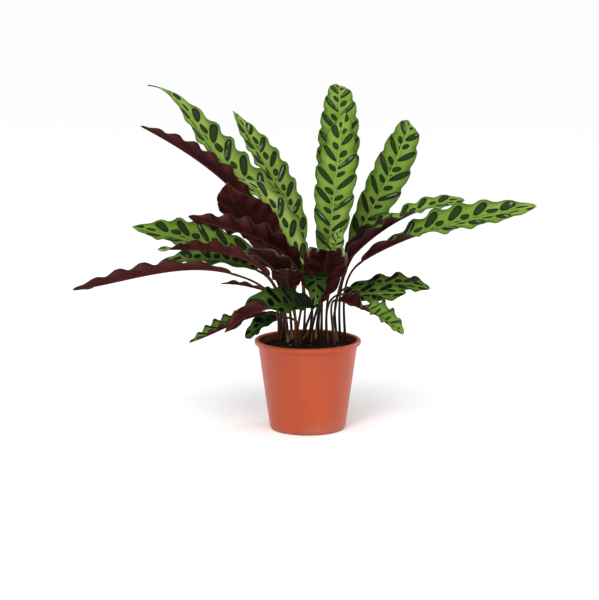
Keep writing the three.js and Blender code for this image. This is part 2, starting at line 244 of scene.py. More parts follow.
# Blade, in mm as in the model, or in shares of its length, of its half width or of one edge wave
blade = {
    "thick": 0.5, "thinning": 0.35, "thinningEdge": 6, "foot": 1.7, "end": 0.8, "pitch": 23.0,
    "wave": {"height": 2.6, "second": 0.25, "broad": 1.5, "edge": 1.8},
    "starts": (0.1, 0.35),  # of the waves on the left and right edge
    "scallop": {"share": 0.06, "ahead": 0.25},
    "tooth": {"height": 0.7, "place": 0.3, "width": 0.07, "edge": 12}, "foldFade": 0.7, "foldLate": 4,
    "sweep": 0.5, "sweepStart": 0.17, "broadLow": 0.93, "blunt": 0.5, "point": 0.12, "arch": 0.035,
    "groove": {"depth": 0.35, "width": 0.05}, "ridge": {"height": 0.7, "width": 0.045, "fade": 0.75},
    "perWave": 16, "across": (0, 0.03, 0.07, 0.14, 0.24, 0.36, 0.5, 0.64, 0.77, 0.88, 0.95, 1.0),
    "ribSteps": 200, "ribNudge": 1e-4,
    "apart": 100,  # keeps the chance in one leaf's blotches apart from the next one's
}
# Leaves: midrib points, root of the stem in the soil, full width, fold of the halves, and the ways the upper
# side looks from foot to tip. Tone is how dark the blade is, partly its own tone and partly painted shade for
# leaves deep in the plant, then how red its stem, how plump its blotches and how red its underside, mostly 0
# to 1. Dark below 0 is straw pale, with pale lips on the underside, plump below 0 is slender, and an
# underside over 1.2 gives the blade a dry tip. A leaf's own point, waves, waved, rise or lead is used instead
# of the usual
leaves = {
    "tall_back": dict(
        rib=[[21, 36, 190], [29, 42, 262], [35, 60, 335], [36, 82, 369], [36, 112, 379]],
        face=[[0.1, -1, 0.2], [0.1, -1, 0.2]],
        root=[9, 34], width=49, fold=18, tone=[0.02, 0.5, -0.25, 0.3],
    ),
    "tall_front": dict(
        rib=[[20, 14, 184], [27, 16, 240], [34, 27, 304], [42, 52, 352]],
        face=[[0.1, -1, 0.2], [-0.1, -1, 0.2]],
        root=[16, 20], width=46, fold=18, waves=7, tone=[0.02, 0.6, -0.25, 0.3],
    ),
    "right_tall": dict(
        rib=[[50, 60, 192], [74, 66, 242], [96, 78, 285], [113, 98, 322], [120, 130, 333]],
        face=[[0, -1, 0.2], [0.2, -1, 0.2]],
        root=[28, 38], width=44, point=0.1, fold=20, waves=7, tone=[0.18, 0.4, -0.2, 0.3],
    ),
    "left_long": dict(
        rib=[[-22, 58, 196], [-62, 71, 262], [-120, 80, 322], [-160, 89, 372], [-184, 95, 380]],
        face=[[0.6, -0.7, 0.5], [0.6, -0.7, 0.5]],
        root=[-12, 36], width=50, point=1.3, fold=34, waved=1.3, waves=9, tone=[-0.12, 0.6, 1, 1.5],
    ),
    "left_second": dict(
        rib=[[-5, 78, 202], [-25, 93, 245], [-55, 107, 297], [-87, 117, 349]],
        face=[[0.5, -0.8, 0.4], [0.5, -0.8, 0.4]],
        root=[4, 45], width=42, point=0.4, fold=34, tone=[-0.12, 0.5, 1, 0.4],
    ),
    "left_high_purple": dict(
        rib=[[-48, 22, 220], [-86, 24, 270], [-133, 30, 307], [-188, 38, 338]],
        face=[[0.5, 0.35, 0.8], [0.4, 0.3, 0.9]],
        root=[-18, 28], width=48, point=0, fold=30, waved=0.9, tone=[0.1, 0.7, 0.5, 0.65],
    ),
    "left_broad_purple": dict(
        rib=[[-38, 8, 183], [-61, -12, 232], [-77, -34, 256], [-87, -62, 286]],
        face=[[0.3, 0.9, 0.3], [0.3, 0.8, 0.6]],
        root=[-22, 18], width=62, point=0.5, fold=16, waved=0.4, tone=[0.1, 0.8, 0.5, 0.65],
    ),
    "left_inner": dict(
        rib=[[2, 24, 172], [-24, 24, 214], [-46, 19, 254], [-77, -8, 283]],
        face=[[0.5, -0.9, 0.3], [0.6, -0.2, 0.9]],
        root=[-8, 22], width=46, point=0.5, fold=20, waves=5, tone=[-0.38, 0.4, 1, 0.4],
    ),
    "left_mid_purple": dict(
        rib=[[-10, -18, 182], [-32, -38, 210], [-74, -56, 231], [-129, -66, 250]],
        face=[[0.5, 0.5, 0.8], [0.3, 1, 0.7]],
        root=[-14, 11], width=38, fold=28, waved=1.5, tone=[0.1, 0.8, 0.5, 0.2],
    ),
    "left_green": dict(
        rib=[[-56, 30, 190], [-96, 26, 201], [-144, 24, 212], [-198, 25, 226]],
        face=[[0.1, -0.53, 0.83], [0.1, -0.53, 0.83]],
        root=[-28, 26], width=50, point=0.3, fold=32, tone=[0.28, 0.6, 1, 0.3],
    ),
    "left_low_purple": dict(
        rib=[[-44, -22, 177], [-66, -34, 196], [-110, -44, 209], [-164, -50, 211]],
        face=[
            [0.3, 0.2, 0.9], [0.2, 0.3, 0.9], [0.1, 0.35, 0.9], [0, 0.4, 0.9], [0, 0.5, 0.9],
            [0, -0.6, 0.8],
        ],
        root=[-22, 6], width=33, fold=26, waved=0.8, tone=[0.1, 0.9, 0.5, 1],
    ),
    "left_longest": dict(
        rib=[[-84, -52, 185], [-132, -62, 191], [-193, -68, 182], [-255, -72, 170]],
        face=[[0.1, 0.15, 1], [-0.2, 0.5, 0.9]],
        root=[-33, 5], width=42, point=0, fold=26, lead=0.5, waved=0.9, waves=6,
        tone=[0.3, 0.9, 0.5, 0.75],
    ),
    "left_grey": dict(
        rib=[[-58, 50, 172], [-86, 60, 179], [-124, 74, 180], [-174, 92, 174]],
        face=[[0, -0.35, 0.95], [0, -0.35, 0.95]],
        root=[-30, 34], width=46, fold=22, tone=[0.45, 0.5, 0.7, 0.4],
    ),
    "left_small": dict(
        rib=[[-46, 54, 147], [-60, 66, 149], [-78, 76, 151], [-101, 82, 151]],
        face=[[0, 0.4, 1], [0, 0.4, 1]],
        root=[-24, 42], width=21, fold=16, waved=0.5, tone=[0.6, 0.8, 0.5, 0.3],
    ),
    "front_green": dict(
        rib=[[12, -28, 145], [-10, -66, 151], [-38, -98, 155], [-59, -116, 152], [-88, -128, 134]],
        face=[
            [0, -0.7, 0.7], [0, -0.7, 0.7], [0, -0.7, 0.7], [0, -0.7, 0.7], [-0.6, 0.6, 0.5],
            [-0.8, 2, 0.3],
        ],
        root=[14, -7], width=46, point=0.4, fold=34, rise=0.5, lead=0.25, waved=0.8,
        tone=[0.8, 0.6, 0.3, 0.42],
    ),
    "left_low": dict(
        rib=[[-46, -2, 131], [-68, -14, 128], [-99, -28, 117], [-131, -42, 106]],
        face=[[0, 0.05, 1], [-0.1, 0.05, 1]],
        root=[-34, 14], width=34, fold=34, lead=0.5, waved=0.9, waves=7, tone=[0.4, 0.8, 0.3, 0.4],
    ),
    "left_back_low": dict(
        rib=[[-26, 60, 115], [-42, 68, 110], [-57, 74, 101], [-73, 78, 88]],
        face=[[0, -0.5, 0.9], [0.1, -0.5, 0.8]],
        root=[-14, 46], width=31, fold=16, lead=0.6, waved=0.6, tone=[0.95, 0.5, 0.5, 0.3],
    ),
    "front_hanging": dict(
        rib=[[2, -22, 160], [2, -42, 180], [6, -62, 184], [7, -90, 157]],
        face=[[0.1, 0.2, 1], [0.1, -0.4, 0.9], [0.1, -0.95, 0.3]],
        root=[1, 1], width=28, fold=12, waved=0.5, waves=5, tone=[1.05, 0.4, -1, 0.2],
    ),
    "front_left_purple": dict(
        rib=[[-19, -36, 160], [-22, -66, 179], [-22, -94, 191], [-22, -120, 201]],
        face=[[0, 0.8, 0.7], [0, 0.1, 1]],
        root=[-13, -8], width=34, fold=14, tone=[0.3, 0.8, 0.5, 0.35],
    ),
    "right_low_front": dict(
        rib=[[39, -6, 154], [64, -14, 156], [87, -22, 158], [109, -28, 160]],
        face=[[0, -0.5, 0.85], [0, -0.45, 0.9]],
        root=[22, -4], width=38, fold=6, waved=1, tone=[0.65, 0.3, 1, 0.5],
    ),
    "right_low_back": dict(
        rib=[[48, 28, 156], [78, 24, 160], [110, 16, 162], [137, 6, 158]],
        face=[[0, -0.4, 0.9], [0, -0.4, 0.9]],
        root=[34, 15], width=37, fold=5, waved=1.2, tone=[0.6, 0.5, 0.8, 0.4],
    ),
    "right_droop": dict(
        rib=[[34, -22, 150], [46, -44, 150], [72, -78, 145], [102, -112, 129]],
        face=[[0.4, 0.9, 0.2], [0.4, 0.8, 0.4], [0.1, -0.4, 0.9], [0.1, -0.5, 0.85], [0.1, -0.5, 0.85]],
        root=[31, 3], width=34, fold=45, lead=0.5, waved=1.3, waves=7, tone=[0.25, 0.4, -0.9, 0.3],
    ),
    "right_long": dict(
        rib=[[61, 14, 188], [103, -2, 213], [165, -18, 236], [251, -30, 257]],
        face=[[0.1, 0.3, 0.9], [0, -0.65, 0.75], [0, -0.8, 0.65]],
        root=[43, 22], width=42, point=0.15, fold=32, waved=1.2, waves=7, tone=[0.05, 0.5, 1, 0.4],
    ),
    "right_second": dict(
        rib=[[30, 13, 166], [57, 3, 203], [105, 5, 238], [176, 22, 257]],
        face=[[-0.5, 0.4, 0.8], [-0.3, 0.1, 0.9], [-0.3, -0.8, 0.75]],
        root=[22, 10], width=39, fold=22, tone=[0.05, 0.4, 0.6, 0.4],
    ),
    "centre_purple": dict(
        rib=[[14, -8, 145], [18, -22, 180], [21, -40, 204], [22, -61, 212]],
        face=[[0, 1, 0.2], [0, 0.8, 0.6], [0, 0.1, 1]],
        root=[12, 7], width=46, fold=16, waved=2.6, waves=5, tone=[-0.5, 0.25, 0.5, 0.28],
    ),
    "right_wide": dict(
        rib=[[44, 33, 176], [60, 33, 204], [79, 35, 223], [104, 46, 236]],
        face=[[-0.5, 0.5, 0.7], [-0.45, 0.4, 0.8], [-0.4, 0.1, 0.9], [-0.2, -0.9, 0.5]],
        root=[37, 30], width=38, fold=30, tone=[0.35, 0.4, 0.5, 0.3],
    ),
    "left_purple_inner": dict(
        rib=[[-24, -28, 164], [-32, -50, 184], [-46, -70, 202], [-66, -84, 217]],
        face=[[0.5, 0.8, 0.4], [0.4, 0.7, 0.6]],
        root=[-8, -5], width=45, fold=20, tone=[-0.2, 0.7, 0.5, 0.1],
    ),
    "back_left": dict(
        rib=[[-6, 62, 160], [-16, 84, 184], [-28, 112, 190], [-42, 142, 176]],
        face=[[0, 0.1, 1], [0, 0.2, 1]],
        root=[-5, 46], width=44, fold=18, tone=[0.8, 0.5, 0.5, 0.2],
    ),
    "centre_small": dict(
        rib=[[24, 3, 184], [27, -2, 198], [31, -5, 212], [36, -2, 228]],
        face=[[0.1, -1, 0.3], [0.1, -1, 0.3]],
        root=[2, 13], width=20, fold=16, waved=0.6, waves=4, tone=[-0.2, 0.5, -1.2, 0.3],
    ),
}


def runs(points):  # how far along a line of points each one is
    return np.concatenate([[0.0], np.cumsum(np.linalg.norm(np.diff(points, axis=0), axis=1))])


class Rib:  # the midrib as a smooth curve through its points, read by share of its length
    def __init__(self, points):
        self.points = np.array(points, dtype=float)
        self.knots = runs(self.points)
        self.knots /= self.knots[-1]
        self.times = np.linspace(0.0, 1.0, blade["ribSteps"] + 1)
        self.lengths = runs(self.atTime(self.times))
        self.length = self.lengths[-1]

    def atTime(self, times):
        total = np.zeros((len(times), 3))
        for i, point in enumerate(self.points):
            weight = np.ones(len(times))
            for j, knot in enumerate(self.knots):
                if j != i:
                    weight = weight * (times - knot) / (self.knots[i] - knot)
            total += weight[:, None] * point
        return total

    def read(self, shares):  # points and the ways the midrib runs there
        times = np.interp(np.asarray(shares, dtype=float) * self.length, self.lengths, self.times)
        after = self.atTime(np.minimum(times + blade["ribNudge"], 1.0))
        before = self.atTime(np.maximum(times - blade["ribNudge"], 0.0))
        return self.atTime(times), unit(after - before)


def unit(vectors):
    return vectors / np.linalg.norm(vectors, axis=-1, keepdims=True)


def hump(distance, width):  # 1 in the middle, fading out over about twice the width
    return np.exp(-(distance / width) ** 2)


def wave(phase):
    return np.sin(2 * np.pi * phase) + blade["wave"]["second"] * np.cos(4 * np.pi * phase)


def looksAt(leaf, shares, tangents):  # which way the upper side looks, square to the midrib
    faces = np.array(leaf["face"], dtype=float)
    part = shares * (len(faces) - 1)
    first = np.minimum(part.astype(int), len(faces) - 2)
    up = faces[first] + (faces[first + 1] - faces[first]) * (part - first)[:, None]
    return unit(up - tangents * (up * tangents).sum(1)[:, None])


class Sheet:  # middle surface of a blade, rows along it and columns across
    def __init__(self, leaf, rib):
        self.leaf = leaf
        self.waves = leaf.get("waves", round(rib.length / blade["pitch"]))
        self.waved = leaf.get("waved", 1)
        self.step = rib.length / self.waves
        self.shares = np.linspace(0.0, 1.0, self.waves * blade["perWave"] + 1)
        self.columns = np.array([-a for a in reversed(blade["across"][1:])] + list(blade["across"]))
        bluntness = blade["blunt"] + leaf.get("point", blade["point"]) * self.shares
        self.outline = np.sin(np.pi * self.shares ** blade["broadLow"]).clip(0) ** bluntness
        self.rows, self.wide = len(self.shares), len(self.columns)
        self.points = np.empty((self.rows, self.wide, 3))
        self.reaches = np.empty((self.rows, self.wide))
        self.fill(rib)

    def fill(self, rib):
        middle, along = rib.read(self.shares)
        up = looksAt(self.leaf, self.shares, along)
        side = np.cross(along, up)
        fold = math.radians(self.leaf["fold"]) * (1 - blade["foldFade"] * self.shares ** blade["foldLate"])
        sweepIn = np.minimum(1, self.shares / blade["sweepStart"])
        for j, v in enumerate(self.columns.tolist()):
            a = abs(v)
            phase = self.shares * self.waves + blade["starts"][0 if v < 0 else 1]
            reach = self.reach(a, phase)
            sweep = blade["sweep"] * reach * (1 - self.shares) * sweepIn * a
            self.points[:, j] = (
                middle
                + along * sweep[:, None]
                + side * (math.copysign(a, v) * reach * np.cos(fold))[:, None]
                + up * (a * reach * np.sin(fold) + self.ripple(a, phase) + self.arch(a, reach))[:, None]
            )
            self.reaches[:, j] = reach

    def reach(self, a, phase):  # how far the edge is from the midrib, with its scallops and small teeth
        scallop, tooth = blade["scallop"], blade["tooth"]
        beside = (phase - tooth["place"] + 0.5) % 1 - 0.5
        wanted = self.leaf["width"] / 2 * self.outline
        wanted = wanted * (1 + scallop["share"] * self.waved * wave(phase + scallop["ahead"]))
        wanted += tooth["height"] * self.outline * hump(beside, tooth["width"]) * a ** tooth["edge"]
        return np.maximum(wanted, blade["foot"] + (blade["end"] - blade["foot"]) * self.shares)

    def ripple(self, a, phase):
        form = blade["wave"]
        return form["height"] * self.waved * wave(phase) * self.outline ** form["broad"] * a ** form["edge"]

    def arch(self, a, reach):  # each half is a little rounded, with a groove along the midrib
        groove = blade["groove"]["depth"] * self.outline * hump(a, blade["groove"]["width"])
        return blade["arch"] * reach * math.sin(math.pi * a) - groove

    def skins(self):  # points of the upper side, then of the underside with the midrib's ridge
        normals = unit(np.cross(np.gradient(self.points, axis=1), np.gradient(self.points, axis=0)))
        a = np.abs(self.columns)[None, :, None]
        half = blade["thick"] / 2 * (1 - blade["thinning"] * a ** blade["thinningEdge"])
        form = blade["ridge"]
        ridge = form["height"] * hump(a, form["width"]) * (1 - form["fade"] * self.shares)[:, None, None]
        sides = self.points + normals * half, self.points - normals * (half + ridge)
        return np.concatenate([side.reshape(-1, 3) for side in sides])

    def ring(self):  # points of the upper side's edge, in order
        last, end = self.rows - 1, self.wide - 1
        ring = [(0, j) for j in range(self.wide)] + [(i, end) for i in range(1, self.rows)]
        ring += [(last, j) for j in range(end - 1, -1, -1)] + [(i, 0) for i in range(last - 1, 0, -1)]
        return [i * self.wide + j for i, j in ring]


def gridFaces(first, rows, columns, flip):
    faces = []
    for i in range(rows - 1):
        for j in range(columns - 1):
            a = first + i * columns + j
            quad = (a, a + 1, a + columns + 1, a + columns)
            faces.append(quad[::-1] if flip else quad)
    return faces


# Places in the bake's picture: each side of a blade in two strips, its rim in a thin one, a stem in one
bake = {
    "start": 0.01, "long": 0.96, "strip": 0.12, "halfStrip": 0.11, "later": 0.25, "under": 0.5,
    "rimLong": 0.98, "rim": (0.999, 0.992, 0.992, 0.999), "stemStart": 0.02, "stemWide": 0.3,
}


def bladeMaps(sheet, number, faces, under, rimCount):
    ids = np.array(faces) % (sheet.rows * sheet.wide)
    row, column = ids // sheet.wide, ids % sheet.wide
    share, across = sheet.shares[row], sheet.columns[column]
    late = (row.min(axis=1) >= sheet.rows // 2)[:, None]
    run = bake["start"] + bake["long"] * np.where(late, share * 2 - 1, share * 2)
    rise = bake["strip"] + bake["halfStrip"] * across + bake["later"] * late + bake["under"] * under
    spot = np.stack([run, rise], axis=-1)
    spread = (np.arange(rimCount) / rimCount)[:, None] + np.array([0, 0, 1, 1]) / rimCount
    rim = np.broadcast_to(bake["rim"], spread.shape)
    spot[-rimCount:] = np.stack([bake["start"] + bake["rimLong"] * spread, rim], axis=-1)
    dark, _, plump, ruddy = sheet.leaf["tone"]
    return {
        "blade": np.stack([share * sheet.waves + blade["apart"] * number, across], axis=-1),
        "size": np.stack([sheet.reaches[row, column] / sheet.step, share], axis=-1),
        "tone": np.broadcast_to([dark, ruddy], spot.shape),
        "marking": np.broadcast_to([plump, 0.0], spot.shape),
        "OFBake": spot,
    }


def makeLeaf(name, leaf, number, rib, finishes):
    sheet = Sheet(leaf, rib)
    count = sheet.rows * sheet.wide
    upper = gridFaces(0, sheet.rows, sheet.wide, False)
    under = gridFaces(count, sheet.rows, sheet.wide, True)
    ring = sheet.ring()
    rim = [(a, a + count, b + count, b) for a, b in zip(ring, ring[1:] + ring[:1])]
    faces = upper + under + rim
    kinds = np.array([0] * len(upper) + [1] * len(under) + [0] * len(rim))
    onEdge = np.zeros(2 * count, dtype=bool)
    onEdge[np.concatenate([ring, np.array(ring) + count])] = True

    def rimEdges(ends):
        sameSide = (ends[:, 0] < count) == (ends[:, 1] < count)
        return (onEdge[ends].all(axis=1) & sameSide).tolist()

    maps = bladeMaps(sheet, number, faces, kinds[:, None] == 1, len(rim))
    piece = makePiece("blade_" + name, sheet.skins() / 1000, faces, finishes, kinds.tolist(), maps, rimEdges)
    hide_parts("leaf_" + name)
    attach(piece, "root")


# Blotches lie along the side veins: a long one to each edge wave, a small one by the midrib between two long
# ones, and now and then a dot. Lengths across are shares of the half width, along they are waves
marks = {
    "lean": 0.86, "ahead": 0.25,
    "long": {"centre": 0.52, "length": 0.425, "width": 0.185, "upright": 0.0, "wobble": 0.08},
    "short": {"centre": 0.27, "length": 0.215, "width": 0.125, "upright": 0.42, "wobble": 0.12},
    "dot": {"centre": 0.1, "length": 0.05, "width": 0.05, "upright": 0.0, "wobble": 0.1},
    "dotShift": 0.3, "dotOften": 0.45,
    "noDot": 9,  # puts the dot that isn't there out of reach
    "shorter": 0.075, "broader": 0.06, "drift": 0.06,
    "lengths": (0.9, 0.2),  # least share, and what chance adds
    "widths": (0.85, 0.3), "fray": 0.3,
    "glint": {"place": 0.3, "across": (0.32, 0.08), "inside": (0.8, 0.5), "over": 0.55},
    "fineVeins": 14, "finestVeins": 42, "sideVeins": 3,
}
# In these greens, dim and black serve as painted shade on dark blades, glint is a painted highlight, and the
# blotch's pale heart is partly its own colour and partly painted sheen
greens = {
    "lamina": srgb(108, 140, 47), "pale": srgb(147, 168, 88), "deep": srgb(58, 92, 22),
    "dim": srgb(14, 34, 4), "straw": srgb(186, 194, 118), "blotch": srgb(18, 31, 11),
    "black": srgb(4, 8, 2), "blotchHeartSheen": srgb(48, 64, 34), "glint": srgb(150, 158, 136),
    "dryTip": srgb(52, 18, 16), "margin": srgb(24, 46, 12), "midrib": srgb(128, 160, 72),
}
# crest is a painted highlight on the underside's wave crests, and deep also serves as painted shade in their
# hollows
maroons = {
    "main": srgb(64, 24, 24), "dim": srgb(18, 9, 7), "crestHighlight": srgb(98, 58, 58),
    "bright": srgb(94, 42, 44), "deep": srgb(38, 10, 11), "vein": srgb(96, 40, 42),
    "midrib": srgb(88, 46, 34), "margin": srgb(78, 62, 38), "lip": srgb(138, 158, 118),
}


def bladePlace(finish):  # where a spot lies on the blade, read from its maps
    x, v = finish.uv("blade")
    w, s = finish.uv("size")
    a = abs(v)
    right = v.above(0.0)
    along = x + blade["starts"][0] + (blade["starts"][1] - blade["starts"][0]) * right
    lean = marks["lean"] - blade["sweep"] * (1 - s)
    b = along - marks["ahead"] - lean * (a - 1) * w
    flat = finish.point(x, v * w)
    return a, b, w, s, right, flat


def chances(finish, cell, right):  # three numbers from 0 to 1 for each cell and half
    sockets = {"Vector": finish.point(cell, right)}
    return finish.parts("Color", finish.node("TexWhiteNoise", {"noise_dimensions": "3D"}, sockets, 1))


def blotches(finish, a, b, w, right, frayed, plump):  # nearness to a blotch: under one inside it
    def spot(kind, off, luck):
        one, two, three = luck
        length = kind["length"] - marks["shorter"] * plump
        length = length * (marks["lengths"][0] + marks["lengths"][1] * two)
        da = (a - kind["centre"] - marks["drift"] * (one - 0.5)) / length
        turn = kind["upright"] * (a - kind["centre"]) * w
        width = kind["width"] + marks["broader"] * plump
        width = width * (marks["widths"][0] + marks["widths"][1] * one)
        db = (off + turn + kind["wobble"] * (three - 0.5)) / width
        return da * da + db * db + marks["fray"] * (frayed - 0.5), db

    cell = (b + 0.5).floor()
    luck = chances(finish, cell, right)
    long, middle = spot(marks["long"], b - cell, luck)
    # a painted glint: a pale streak along some long blotches
    form = marks["glint"]
    glint = abs(middle - form["place"]).step(*form["across"]) * long.step(*form["inside"])
    glint = glint * luck[1].above(form["over"])
    between = b.floor()
    luck = chances(finish, between + 0.5, right)
    short, _ = spot(marks["short"], b - between - 0.5, luck)
    dot, _ = spot(marks["dot"], b - between - marks["dotShift"], luck)
    dot = dot + marks["noDot"] * (1 - luck[2].above(1 - marks["dotOften"]))
    return long.smaller(short).smaller(dot), glint


# Upper side: clouds as scale and detail, the rest as the two limits between which it comes in
upperSide = {
    "frayed": (9.0, 2.0), "mottle": (1.3, 3.0), "broken": (3.0, 2.0),
    "blotch": (1.12, 0.88), "heart": (0.25, 0.9), "halo": (1.9, 1.0), "glint": (0.42, 0.62),
    "midrib": (0.045, 0.015), "besideMidrib": (0.02, 0.05), "groove": (0.08, 0.02),
    "edgeToneAndTroughShade": (0.5, 1.0), "margin": (0.94, 0.98), "tip": (0.93, 0.97), "dryOver": 1.2,
    "shine": 0.02, "relief": (0.6, 0.0008),
}


def leafTop():
    finish, look = Finish("leaf_top"), upperSide
    a, b, w, s, right, flat = bladePlace(finish)
    dark, ruddy = finish.uv("tone")
    plump = finish.uv("marking")[0]
    frayed = finish.clouds(flat, *look["frayed"])
    near, glint = blotches(finish, a, b, w, right, frayed, plump)
    # painted shade: a blade's darkness grows towards its foot, deep in the plant
    dark = dark * (1.3 - 0.6 * s)
    blotch = near.step(*look["blotch"])
    mottle = finish.clouds(flat, *look["mottle"])
    broken = finish.clouds(flat, *look["broken"])
    veins = b.ripples(marks["fineVeins"])
    finest = b.ripples(marks["finestVeins"])
    fromMidrib = a * w
    # the blotch: its paler heart partly its own colour and partly painted sheen, blacker under the painted
    # shade of dark blades, and on some a painted glint
    heart = finish.layers(
        greens, "blotchHeartSheen",
        (near.step(*look["heart"]), "blotch"),
        (veins * 0.35 + mottle * 0.2, "blotch"),
        (dark * 1.3, "black"),
        (glint * broken.step(*look["glint"]) * (0.7 - 0.9 * dark), "glint"),
    )
    colour = finish.layers(
        greens, "lamina",
        ((mottle - 0.35) * 1.6, "pale"),
        (0 - dark, "straw"),
        (veins * 0.14 + finest * 0.06, "deep"),
        # darker green towards the edge, the leaf's own, and painted shade in the hollows of the edge waves
        (a.step(*look["edgeToneAndTroughShade"]) * (0.4 + 0.5 * b.ripples(1)), "deep"),
        (near.step(*look["halo"]) * 0.25, "deep"),
        # painted shade on dark blades, deep in the plant
        (dark, "dim"),
        (fromMidrib.step(*look["midrib"]) * (0.9 - 0.75 * dark), "midrib"),
        (blotch * fromMidrib.step(*look["besideMidrib"]), heart),
        (a.step(*look["margin"]) * (0.45 + 0.4 * broken), "margin"),
        (s.step(*look["tip"]) * ruddy.above(look["dryOver"]), "dryTip"),
    )
    height = veins * 0.3 + finest * 0.12 - blotch * 0.45 + mottle * 0.8
    height = height - fromMidrib.step(*look["groove"]) * 1.2
    return finish.dress(colour, 0.42 + 0.12 * mottle - 0.15 * blotch, height, look)


# Underside, in the same way. Crests of the edge waves get a painted highlight and their hollows painted shade
underside = {
    "mottle": (1.1, 4.0), "main": (0.3, 0.7), "bright": (0.6, 1.0),
    "vein": (0.1, 0.02), "veinEnd": (0.99, 0.7), "midrib": (0.05, 0.02), "margin": (0.975, 0.995),
    "hollowShade": (0.1, 0.9), "crestHighlight": (0.2, 1.0),
    "lipEdge": (0.82, 0.92), "lipTip": (0.93, 0.97), "lipFrom": (0.5, 0.75), "lipBroken": (0.35, 0.6),
    "shine": 0.02, "relief": (0.6, 0.0006),
}


def leafUnderside():
    finish, look = Finish("leaf_underside"), underside
    a, b, w, s, _, flat = bladePlace(finish)
    dark, ruddy = finish.uv("tone")
    ruddy = ruddy.smaller(1.0)
    mottle = finish.clouds(flat, *look["mottle"])
    side = b * marks["sideVeins"]
    vein = abs(side - (side + 0.5).floor()).step(*look["vein"]) * a.step(*look["veinEnd"])
    fine = b.ripples(marks["fineVeins"])
    swell = b.ripples(1)
    lip = a.step(*look["lipEdge"]).larger(s.step(*look["lipTip"]))
    lip = lip * s.step(*look["lipFrom"]) * mottle.step(*look["lipBroken"])
    colour = finish.layers(
        maroons, "deep",
        (mottle.step(*look["main"]), "main"),
        ((0.6 - ruddy) * 1.2, "dim"),
        (ruddy.step(*look["bright"]) * 0.6, "bright"),
        # painted shade in the hollows of the edge waves and a painted highlight on their crests
        (a.step(*look["hollowShade"]) * (1 - swell) * 0.45, "deep"),
        (a.step(*look["crestHighlight"]) * swell * mottle * 0.9, "crestHighlight"),
        (vein * (0.06 + 0.45 * ruddy) + fine * 0.06, "vein"),
        ((a * w).step(*look["midrib"]) * (0.8 - 0.5 * s), "midrib"),
        (a.step(*look["margin"]) * 0.6, "margin"),
        (lip * (0 - dark) * 1.8, "lip"),
    )
    return finish.dress(colour, 0.48 + 0.12 * mottle, vein * 0.8 + fine * 0.25 + mottle * 0.8, look)


# Stems: bent tubes from the soil to the blade's foot, with a short swelling, the knuckle, just below it
stem = {
    "sunk": 12.0, "gap": 0.45, "edge": 92.5, "rise": 0.4, "lead": 0.35, "joinGap": 0.4,
    "into": 0.012,  # share of the midrib that the stem's end runs into
    "foot": 1.9, "neck": 1.25, "waist": 0.18, "tip": 0.75,
    "knuckle": {"height": 0.3, "place": 0.95, "width": 0.035}, "seedPace": 0.61, "sides": 12,
    "steps": 40,
}
browns = {
    "brown": srgb(36, 18, 10), "red": srgb(84, 35, 20), "olive": srgb(54, 38, 18),
    "tan": srgb(112, 66, 38), "cream": srgb(170, 148, 84), "dark": srgb(10, 5, 3),
    "knuckle": srgb(64, 58, 28),
}
# Clouds and limits as on the blade. Heights are in tenths of a metre above the soil, and Ones are the stems
# that chance picks
stemLook = {
    "apart": 20, "mottlePace": (3, 4), "mottle": (3.0, 3.0), "streakPace": (14, 3), "streak": (1.0, 3.0),
    "streaks": (0.45, 0.7), "tanOnes": (0.72, 0.84), "creamOnes": (0.24, 0.14), "creamBelow": (0.2, 0.04),
    "footBelow": (0.12, -0.02), "footStreaks": (0.3, 0.6), "knuckle": (0.9, 0.97),
    "shine": 0.15, "relief": (0.5, 0.0004),
}


def stemFinish():
    finish, look = Finish("leaf_stem"), stemLook
    high, turn = finish.uv("stem")
    red, seed = finish.uv("tone")
    share = finish.uv("length")[0]

    def around(pace):
        return finish.point(turn * pace[0] + seed * look["apart"], high * pace[1])

    streaks = finish.clouds(around(look["streakPace"]), *look["streak"])
    mottle = finish.clouds(around(look["mottlePace"]), *look["mottle"])
    colour = finish.layers(
        browns, "olive",
        (red, "brown"),
        (((red - 0.5) * 4) * mottle, "red"),
        (seed.step(*look["tanOnes"]) * (0.4 + 0.5 * mottle), "tan"),
        (streaks.step(*look["streaks"]) * 0.5, "dark"),
        (high.step(*look["creamBelow"]) * seed.step(*look["creamOnes"]), "cream"),
        (high.step(*look["footBelow"]) * streaks.step(*look["footStreaks"]) * 0.8, "dark"),
        (share.step(*look["knuckle"]) * 0.7, "knuckle"),
    )
    return finish.dress(colour, 0.42 + 0.2 * mottle, streaks + mottle * 0.5, look)


def tubeRings(centres, radii, sides):
    tangents = unit(np.gradient(centres, axis=0))
    across = np.array([1.0, 0.0, 0.0])
    rings = []
    for centre, tangent, radius in zip(centres, tangents, radii):
        across = across - tangent * across.dot(tangent)
        across /= np.linalg.norm(across)
        other = np.cross(tangent, across)
        turns = np.arange(sides) * 2 * np.pi / sides
        rings.append(centre + radius * (np.cos(turns)[:, None] * across + np.sin(turns)[:, None] * other))
    return np.concatenate(rings)


def tubeFaces(steps, sides):
    faces = []
    for i in range(steps):
        for k in range(sides):
            a, b = i * sides + k, i * sides + (k + 1) % sides
            faces.append((a, b, b + sides, a + sides))
    faces.append(tuple(range(sides))[::-1])
    faces.append(tuple(steps * sides + k for k in range(sides)))
    return faces


def stemPath(leaf, rib):  # from the soil up, over to the blade's foot and a little way in
    foot = np.array([*leaf["root"], stem["edge"] - stem["sunk"] + stem["gap"]])
    ends, ways = rib.read([0.0, stem["into"]])
    end = ends[0] - ways[0] * stem["joinGap"]
    reach = np.linalg.norm(end - foot)
    climb = foot + np.array([0, 0, leaf.get("rise", stem["rise"]) * reach])
    lead = end - ways[0] * leaf.get("lead", stem["lead"]) * reach
    t = np.linspace(0, 1, stem["steps"] + 1)[:, None]
    path = (1 - t) ** 3 * foot + 3 * t * (1 - t) ** 2 * climb + 3 * t * t * (1 - t) * lead + t ** 3 * end
    return np.concatenate([path, ends[1:2]])


